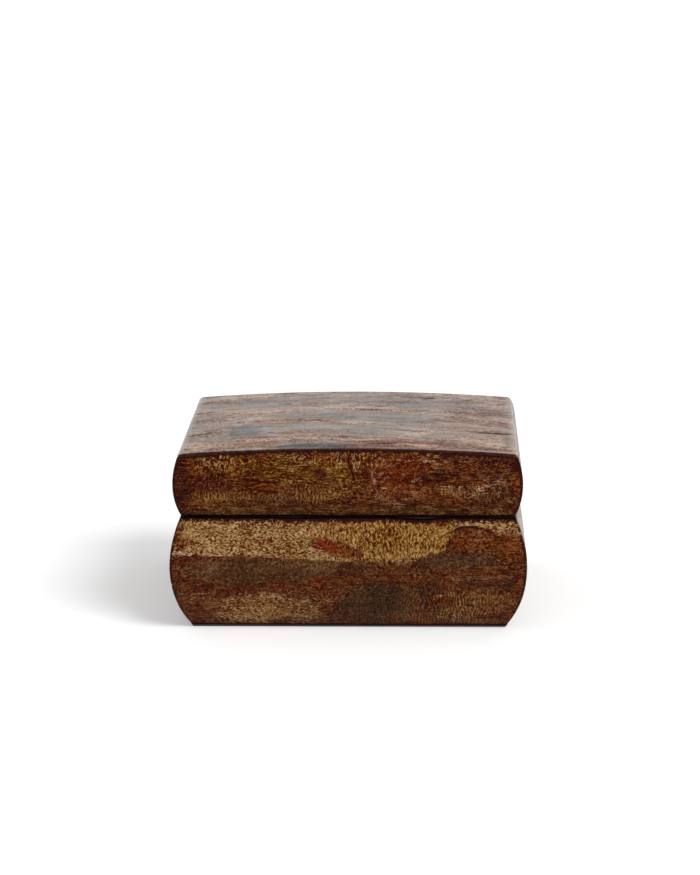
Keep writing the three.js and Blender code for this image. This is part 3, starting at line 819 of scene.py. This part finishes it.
def crackledBark():
    # Polished bark: 1 on the small swellings and 0 in the cracks between them
    group, given = newGroup("crackledBark", {"Vector": None, "Upright": 0.0, "Strand": 0.0, "Whorl": 0.0})
    vector = given["Vector"]
    bend = add("ShaderNodeTexNoise", {"Vector": vector, "Scale": 0.33, "Detail": 4.0})[1]
    shift = add("ShaderNodeVectorMath", {0: bend, 1: (0.5, 0.5, 0.5)}, operation="SUBTRACT")[0]
    shift = scaled(shift, 3.2)
    warped = moved(vector, shift)
    calm = moved(vector, scaled(shift, 0.4))

    def field(stretch, detail=3.0, along=warped):
        return mapRange(drawnOut(along, stretch, detail, 0.6), 0.36, 0.64, kind="LINEAR")

    def lines(stretch, width, gaps):
        # Thin broken lines, where a noise passes through its middle value
        off = sums("ABSOLUTE", minus(drawnOut(warped, stretch), 0.5))
        whole = mapRange(drawnOut(calm, gaps), 0.42, 0.56)
        return times(mapRange(off, width, width * 0.3), whole)

    # Upright grains, short level dashes, long level strands, and fine upright ripples
    grains = field((2.3, 1.4, 0.95))
    dashes = field((1.15, 1.4, 2.5))
    strands = mixValue(0.4, field((0.28, 1, 2.9), 4.0, calm), dashes)
    wavy = {"Vector": warped, "Scale": 0.33, "Distortion": 6.0, "Detail": 3.0, "Detail Scale": 0.6,
            "Detail Roughness": 0.6}
    wave = add("ShaderNodeTexWave", wavy, wave_type="BANDS", bands_direction="X")[1]
    ripples = mixValue(0.45, wave, grains)
    swell = mixValue(given["Upright"], dashes, grains)
    swell = mixValue(times(given["Strand"], 0.85), swell, strands)
    return closeGroup(group, {
        "Swell": mixValue(times(given["Whorl"], 0.9), swell, ripples),
        "Fibres": drawnOut(warped, (0.12, 0.5, 1.5), 4.0, 0.65),
        "Drift": drawnOut(vector, (0.6, 1, 1), 3.0, 0.6, 0.16),
        "Threads": lines((0.22, 1, 0.8), 0.05, (0.3, 1, 0.9)),
        "Veins": lines((0.3, 1, 0.36), 0.018, (0.35, 1, 0.35)),
    })


def edgeDarkening():
    # Darkened edges, from the distance to the edge in mm: partly the bark's worn edges, partly painted shade
    # along the rim, the foot, the corners and under the top's edge
    group, given = newGroup("edgeDarkening", {"Vector": None, "Distance": 4.0, "Width": 1.2})
    distance = swing(given["Distance"], fineNoise(given["Vector"], 0.7, 4.0, 0.6), 2.4)
    first, last = times(given["Width"], 0.6), times(given["Width"], 1.2)
    return closeGroup(group, {"Edge": mapRange(distance, first, last, 1.0, 0.0)})


crackledGroup = crackledBark()
edgeDarkeningGroup = edgeDarkening()


def newMaterial(name):
    material = bpy.data.materials.new(name)
    material.use_nodes = True
    return material, material.node_tree, material.node_tree.nodes["Principled BSDF"].inputs


def finishSurface(surface, colour, roughness, gloss, relief):
    # Gloss is the index of refraction, and relief is in mm
    bump = add("ShaderNodeBump", {"Height": relief, "Distance": millimetre, "Strength": 1.0})[0]
    for label, socket in (("Base Color", colour), ("Roughness", roughness), ("Normal", bump)):
        socket.id_data.links.new(socket, surface[label])
    surface["IOR"].default_value = gloss


def millimetres(tree, turned):
    # Object coordinates in mm, with X along the face
    place = add("ShaderNodeTexCoord", {}, tree)["Object"]
    turn = (0, 0, math.radians(90) if turned else 0)
    return add("ShaderNodeMapping", {"Vector": place, "Scale": (1000, 1000, 1000), "Rotation": turn})[0]


def maskOf(tree, name):
    return add("ShaderNodeAttribute", {}, tree, attribute_name=name, attribute_type="GEOMETRY")["Fac"]


def frayed(mask, fray, amount, low, high):
    # A painted mask with a soft, uneven border
    loose = plus(mask, times(fray, amount))
    inside = mapRange(mask, 0.0, 0.36)
    return times(mapRange(loose, low, high), inside)


# Colours by threes: in the cracks, on the ground between them, and on its crests. The crest tone is partly
# the bark's own and partly painted highlight, the light that the tops of the swellings catch.
baseTones = {
    "plain": ((47, 5, 0), (81, 42, 13), (109, 76, 45)),
    "red": ((55, 3, 0), (91, 37, 4), (115, 69, 33)),
    "ash": ((50, 18, 6), (79, 48, 22), (112, 84, 59)),
    "cloud": ((32, 14, 7), (59, 35, 18), (86, 60, 40)),
    "tan": ((77, 20, 0), (131, 91, 44), (178, 145, 100)),
    "gold": ((71, 16, 0), (123, 82, 22), (170, 136, 83)),
    "rust": ((56, 2, 0), (96, 41, 4), (124, 78, 38)),
    "ember": ((68, 2, 0), (98, 22, 0), (132, 60, 26)),
    "pale": (172, 138, 104),
    # Pale lips of pores and cracks, partly painted highlights where a raised edge catches the light
    "lip": (194, 160, 124),
    "slit": (52, 8, 0),
    # The dark edge tone: partly worn bark, partly painted shade
    "edge": (48, 10, 4),
    # Near-black painted shade for the seam between base and lid
    "seamShade": (7, 5, 5),
}
lidTones = dict(
    baseTones,
    plain=((42, 0, 0), (80, 35, 3), (124, 83, 43)),
    red=((50, 0, 0), (86, 29, 1), (118, 72, 35)),
    ash=((48, 10, 0), (88, 53, 20), (126, 93, 58)),
    cloud=((28, 0, 0), (61, 20, 8), (101, 58, 34)),
    tan=((56, 3, 0), (109, 66, 15), (162, 123, 71)),
    gold=((49, 0, 0), (97, 55, 4), (149, 112, 52)),
    rust=((54, 0, 0), (95, 36, 0), (128, 80, 24)),
)

# How the side bark is put together. A fray is how far noise moves a mark's border, and where it begins and
# is full. The level of the cracks picks the tone: crack, ground or crest.
barkLook = {
    "markFray": (1.9, 0.05, 0.95),
    "lipFray": (1.2, 0.1, 0.8),
    "slitFray": (1.0, 0.1, 0.8),
    "calm": (0.6, 0.7),  # how much a calm patch flattens the level, and the relief
    "fibres": 0.7,  # what each noise adds to the level
    "drift": 0.75,
    "speckle": 0.5,
    "threads": -0.32,
    "ground": (0.25, 0.5),  # levels where the ground begins and is full
    "crest": (0.56, 0.88),
    "lipLevels": (0.25, 0.75, 0.1, 0.95),
    "redPatches": (0.42, 0.62),
    "emberPatches": (0.36, 0.58, 0.2, 1.0),
    "strengths": {"red": 0.8, "veins": 0.5, "slit": 0.85},
    "edge": (0.7, 1.1),  # how far the swellings move it, and its width, in mm
    "roughness": (0.32, 0.14),  # in the cracks, and on the crests
    "slitRough": 0.75,
    "edgeRough": 0.35,
    "grimeRough": 0.9,
    "relief": {"swell": 0.1, "fibres": 0.06, "slit": -0.12, "threads": -0.05, "veins": 0.05},  # mm
    "gloss": (1.14, 1.25),  # index of refraction on the front and back, and on the ends
}


def sideBarkMaterial(name, tones, turned):
    look, strengths, heights = barkLook, barkLook["strengths"], barkLook["relief"]
    material, tree, surface = newMaterial(name)
    place = millimetres(tree, turned)
    masks = {mark: maskOf(tree, mark) for mark in marks}
    fray = minus(fineNoise(place, 0.6, 4.0, 0.7), 0.5)
    shares = {mark: frayed(masks[mark], fray, *look["markFray"]) for mark in spotMarks}
    flows = {label: shares[label.lower()] for label in ("Upright", "Strand", "Whorl")}
    bark = add("ShaderNodeGroup", {"Vector": place, **flows}, node_tree=crackledGroup)
    swell, fibres = bark["Swell"], bark["Fibres"]
    threads, veins = times(bark["Threads"], shares["strand"]), times(bark["Veins"], shares["vein"])

    level = mixValue(times(shares["calm"], look["calm"][0]), swell, 0.5)
    noises = {"fibres": fibres, "drift": bark["Drift"], "speckle": fineNoise(place, 3.5)}
    for label, value in noises.items():
        level = swing(level, value, look[label])
    level = plus(level, times(threads, look["threads"]))

    reddish = mapRange(fineNoise(place, 0.11, 4.0, 0.6), *look["redPatches"])
    patchy = mapRange(fineNoise(place, 0.8, 4.0, 0.7), *look["emberPatches"])
    shares["red"] = times(reddish, strengths["red"])
    shares["ember"] = times(shares["ember"], patchy)
    stages = [linear(tone) for tone in tones["plain"]]
    for mark in ("red", "ash", "tan", "gold", "rust", "cloud", "ember"):
        stages = mixTones(shares[mark], stages, tones[mark])
    pale = mixColour(shares["pale"], stages[2], linear(tones["pale"]))
    colour = mixColour(mapRange(level, *look["ground"]), stages[0], stages[1])
    colour = mixColour(mapRange(level, *look["crest"]), colour, pale)

    lip = frayed(masks["lip"], fray, *look["lipFray"])
    lip = times(lip, mapRange(level, *look["lipLevels"]))
    slit = frayed(masks["slit"], fray, *look["slitFray"])
    moves, width = look["edge"]
    given = {"Vector": place, "Distance": swing(masks["edge"], swell, moves), "Width": width}
    edge = add("ShaderNodeGroup", given, node_tree=edgeDarkeningGroup)["Edge"]
    over = {"lip": lip, "pale": times(veins, strengths["veins"]), "slit": times(slit, strengths["slit"]),
            "edge": edge, "seamShade": masks["seamShade"]}
    for mark, share in over.items():
        colour = mixColour(share, colour, linear(tones[mark]))

    roughness = mixValue(level, *look["roughness"])
    for label, share in {"slitRough": slit, "edgeRough": edge, "grimeRough": masks["seamShade"]}.items():
        roughness = mixValue(share, roughness, look[label])
    calm = minus(1.0, times(shares["calm"], look["calm"][1]))
    relief = times(swell, times(calm, heights["swell"]))
    for label, line in {"fibres": fibres, "slit": slit, "threads": threads, "veins": veins}.items():
        relief = plus(relief, times(line, heights[label]))
    finishSurface(surface, colour, roughness, look["gloss"][turned], relief)
    return material


topTones = {
    "brown": ((84, 60, 48), (128, 107, 94), (164, 147, 134)),
    # Grey: partly the bark's own, partly a painted sheen where the smooth bark reflects the pale background
    "ash": ((96, 84, 78), (120, 110, 104), (142, 132, 126)),
    "rust": ((70, 36, 22), (120, 80, 58), (162, 124, 98)),
    "cloud": ((34, 26, 22), (70, 60, 54), (108, 98, 90)),
    "tan": ((88, 50, 34), (142, 103, 80), (192, 160, 134)),
    "slit": (42, 22, 14),
    "edge": ((22, 4, 2), (66, 24, 9)),  # in the grain, and on it; the cut edge's colour and painted shade under the top's edge
}
# How the top bark is put together, as for the sides
topLook = {
    "bend": (0.06, 8.0),  # how fine its grain's bends are, and how wide in mm
    "strands": 1.5,
    "grain": 1.1,
    "speckle": 1.2,
    "drift": 1.3,
    "markFray": (2.2, 0.0, 1.0),
    "slitFray": (1.4, 0.1, 0.9),
    "glossFray": (2.0, 0.05, 0.95),
    "ash": (0.45, 0.55),  # how far ash evens out the level, and to what
    "spread": (1.0, 1.7),  # of the level, outside tan and in it
    "ground": (0.08, 0.5),
    "crest": (0.5, 0.95),
    "slitGaps": (0.36, 0.56, 0.7, 1.0),
    "fineSlits": (0.25, 0.8),  # strength outside tan and in it
    "edge": (0.16, 0.65),
    "edgeGrain": (0.4, 0.62),
    "roughLevels": (0.1, 0.8),
    "roughness": (0.42, 0.26),
    "tanRough": 0.5,
    "slitRough": 0.8,
    "endRough": 0.14,
    "edgeRough": 0.7,
    "relief": {"strands": 0.2, "grain": 0.14, "slit": -0.12},  # mm
    "gloss": 1.27,
}


def topBarkMaterial():
    look, heights = topLook, topLook["relief"]
    material, tree, surface = newMaterial("top_bark_polished")
    place = millimetres(tree, False)
    bendScale, bendWidth = look["bend"]
    bend = add("ShaderNodeTexNoise", {"Vector": place, "Scale": bendScale, "Detail": 2.0})[1]
    warped = moved(place, scaled(bend, bendWidth))
    strands = drawnOut(warped, (0.05, 0.34, 1), 5.0, 0.65)
    grain = drawnOut(warped, (1.1, 0.7, 1), 3.0, 0.65)
    speckle = drawnOut(warped, (2.4, 1.1, 1), 2.0, 0.6)
    drift = drawnOut(warped, (0.35, 1, 1), 3.0, 0.55, 0.09)
    fray = minus(drawnOut(warped, (0.3, 0.7, 1), 4.0, 0.7), 0.5)
    masks = {mark: maskOf(tree, mark) for mark in marks}
    shares = {mark: frayed(masks[mark], fray, *look["markFray"]) for mark in ("ash", "rust", "cloud", "tan")}

    level, noises = 0.5, {"strands": strands, "grain": grain, "speckle": speckle, "drift": drift}
    for label, value in noises.items():
        level = swing(level, value, look[label])
    even, evenLevel = look["ash"]
    level = mixValue(times(shares["ash"], even), level, evenLevel)
    level = swing(0.5, level, mixValue(shares["tan"], *look["spread"]))
    stages = [linear(tone) for tone in topTones["brown"]]
    for mark, share in shares.items():
        stages = mixTones(share, stages, topTones[mark])
    colour = mixColour(mapRange(level, *look["ground"]), stages[0], stages[1])
    colour = mixColour(mapRange(level, *look["crest"]), colour, stages[2])

    slit = frayed(masks["slit"], fray, *look["slitFray"])
    slit = times(slit, mapRange(speckle, *look["slitGaps"]))
    fineSlit = times(mapRange(strands, 0.4, 0.32), mapRange(grain, 0.52, 0.4))
    fineSlit = times(fineSlit, mixValue(shares["tan"], *look["fineSlits"]))
    dark = sums("MAXIMUM", slit, fineSlit)
    colour = mixColour(dark, colour, linear(topTones["slit"]))
    edge = mapRange(masks["edge"], *look["edge"], 1.0, 0.0)
    # The dark edge: partly the cut bark's colour, partly painted shade
    worn = mixColour(mapRange(grain, *look["edgeGrain"]), *[linear(tone) for tone in topTones["edge"]])
    colour = mixColour(edge, colour, worn)

    roughness = mixValue(mapRange(level, *look["roughLevels"]), *look["roughness"])
    dull = frayed(masks["tan"], fray, *look["glossFray"])
    over = {"tanRough": dull, "slitRough": dark, "endRough": masks["calm"], "edgeRough": edge}
    for label, share in over.items():
        roughness = mixValue(share, roughness, look[label])
    relief = plus(times(strands, heights["strands"]), times(grain, heights["grain"]))
    relief = plus(relief, times(dark, heights["slit"]))
    relief = times(relief, minus(1.0, masks["calm"]))
    finishSurface(surface, colour, roughness, look["gloss"], relief)
    return material


# Wood and lining: straight grain along X or Y
woodTones = {
    "core": {"dark": (20, 8, 4), "light": (68, 37, 22), "rough": (0.5, 0.7), "grain": (0.06, 1.4, 1.4),
             "gloss": 1.3},
    "lip": {"dark": (66, 32, 16), "light": (126, 74, 42), "rough": (0.35, 0.5), "grain": (0.05, 1.6, 1.6),
            "gloss": 1.45, "worn": (150, 98, 60), "wornRange": (38.9, 39.4)},
    "lining": {"dark": (60, 22, 11), "light": (110, 56, 30), "rough": (0.3, 0.5), "grain": (0.15, 0.8, 0.8),
               "gloss": 1.45, "dash": (150, 98, 62)},
    "under": {"dark": (30, 14, 10), "light": (66, 38, 28), "rough": (0.45, 0.6), "grain": (0.15, 0.8, 0.8),
              "gloss": 1.45, "dash": (96, 66, 46)},
}


def woodMaterial(name, tones, turned=False):
    material, tree, surface = newMaterial(name)
    place = millimetres(tree, turned)
    grain = drawnOut(place, tones["grain"], 5.0, 0.6)
    drift = fineNoise(place, 0.08, 3.0)
    pores = drawnOut(place, (0.3, 4, 4), 2.0, 0.6)
    level = plus(times(grain, 1.6), times(drift, 0.8))
    level = mapRange(level, 0.85, 1.55, kind="LINEAR")
    colour = mixColour(level, linear(tones["dark"]), linear(tones["light"]))
    pore = mapRange(pores, 0.38, 0.28)
    relief = plus(times(grain, 0.05), times(pore, -0.04))
    if "dash" in tones:
        # Pale pores of the bark, each with a darker line beside it
        streaks = drawnOut(place, (0.13, 0.95, 0.95), 3.0, 0.6)
        pale = times(mapRange(streaks, 0.6, 0.66), 0.7)
        colour = mixColour(pale, colour, linear(tones["dash"]))
        pore = sums("MAXIMUM", pore, mapRange(streaks, 0.37, 0.31))
        relief = plus(relief, times(pale, 0.08))
    if "worn" in tones:
        height = add("ShaderNodeSeparateXYZ", {0: place})["Z"]
        worn = times(mapRange(swing(height, grain, 1.5), *tones["wornRange"]), 0.6)
        colour = mixColour(worn, colour, linear(tones["worn"]))
    colour = mixColour(times(pore, 0.7), colour, linear(tones["dark"]))
    finishSurface(surface, colour, mixValue(grain, *tones["rough"]), tones["gloss"], relief)
    return material


def bothWays(make, name, tones):
    # A finish with its grain along X, and the same along Y
    return [make(name, tones, False), make(name + "_turned", tones, True)]


def dress(target, material):
    target.data.materials.clear()
    target.data.materials.append(material)


sideBark = {"base": bothWays(sideBarkMaterial, "base_bark_polished", baseTones),
            "lid": bothWays(sideBarkMaterial, "lid_bark_polished", lidTones)}
coreWood = bothWays(woodMaterial, "core_wood", woodTones["core"])
lipWood = bothWays(woodMaterial, "lip_wood", woodTones["lip"])
lining = woodMaterial("bark_lining", woodTones["lining"])
for name, piece in barkPieces.items():
    part, side = name.split("_")[:2]
    dress(piece, sideBark[part][side in ("left", "right")])
for name, target in nodes.items():
    turned = "left" in name or "right" in name
    if name.endswith("_wall") or name.endswith("_board"):
        dress(target, coreWood[turned])
    elif name.endswith("_lip_liner"):
        dress(target, lipWood[turned])
    elif name.endswith("_lining"):
        dress(target, lining)
dress(topPiece, topBarkMaterial())
dress(undersidePiece, woodMaterial("underside_bark", woodTones["under"]))
print("materials given")

# Floor, world and light
studio = {
    "floor": 0.86,
    "floorSize": 6,  # m, half of it
    "floorGlow": 0.24,  # only as the camera and gloss see it, so that the lit floor is white
    "ambient": 0.6,
    "behind": 1.0,  # what gloss sees behind the box
    "front": 0.15,  # what it sees in front of it
    "sun": 1.9,
    "sunAngle": 28,  # degrees across
    "sunHigh": 45,
    "sunRight": 50,
}


def addFloor():
    bm = bmesh.new()
    bmesh.ops.create_grid(bm, x_segments=1, y_segments=1, size=studio["floorSize"])
    mesh = bpy.data.meshes.new("floor")
    bm.to_mesh(mesh)
    bm.free()
    floor = addObject("floor", mesh)
    material, tree, surface = newMaterial("floor_white")
    surface["Base Color"].default_value = (studio["floor"], studio["floor"], studio["floor"], 1)
    surface["Roughness"].default_value = 1.0
    surface["IOR"].default_value = 1.0
    path = add("ShaderNodeLightPath", {}, tree)
    seen = sums("MAXIMUM", path["Is Camera Ray"], path["Is Glossy Ray"])
    seen = sums("MAXIMUM", seen, path["Is Transmission Ray"])
    surface["Emission Color"].default_value = (1, 1, 1, 1)
    tree.links.new(times(seen, studio["floorGlow"]), surface["Emission Strength"])
    dress(floor, material)


def addWorld():
    world = bpy.data.worlds.new("studio")
    bpy.context.scene.world = world
    world.use_nodes = True
    tree = world.node_tree
    background = tree.nodes["Background"].inputs
    path = add("ShaderNodeLightPath", {}, tree)
    direction = add("ShaderNodeTexCoord", {}, tree)["Generated"]
    forward = add("ShaderNodeSeparateXYZ", {0: direction})["Y"]
    seen = mapRange(forward, -0.3, 0.3, studio["front"], studio["behind"])
    level = mixValue(path["Is Glossy Ray"], studio["ambient"], seen)
    for ray in ("Is Camera Ray", "Is Transmission Ray"):
        level = mixValue(path[ray], level, 1.0)
    tree.links.new(level, background["Strength"])
    background["Color"].default_value = (1, 1, 1, 1)


def addSun():
    data = bpy.data.lights.new("key", "SUN")
    data.energy = studio["sun"]
    data.angle = math.radians(studio["sunAngle"])
    high, right = math.radians(studio["sunHigh"]), math.radians(studio["sunRight"])
    towards = Vector((math.sin(right) * math.cos(high), -math.cos(right) * math.cos(high), math.sin(high)))
    addObject("key", data).rotation_euler = towards.to_track_quat("Z", "Y").to_euler()


addFloor()
addWorld()
addSun()
bpy.context.scene.view_settings.view_transform = "Standard"
print("studio lit")
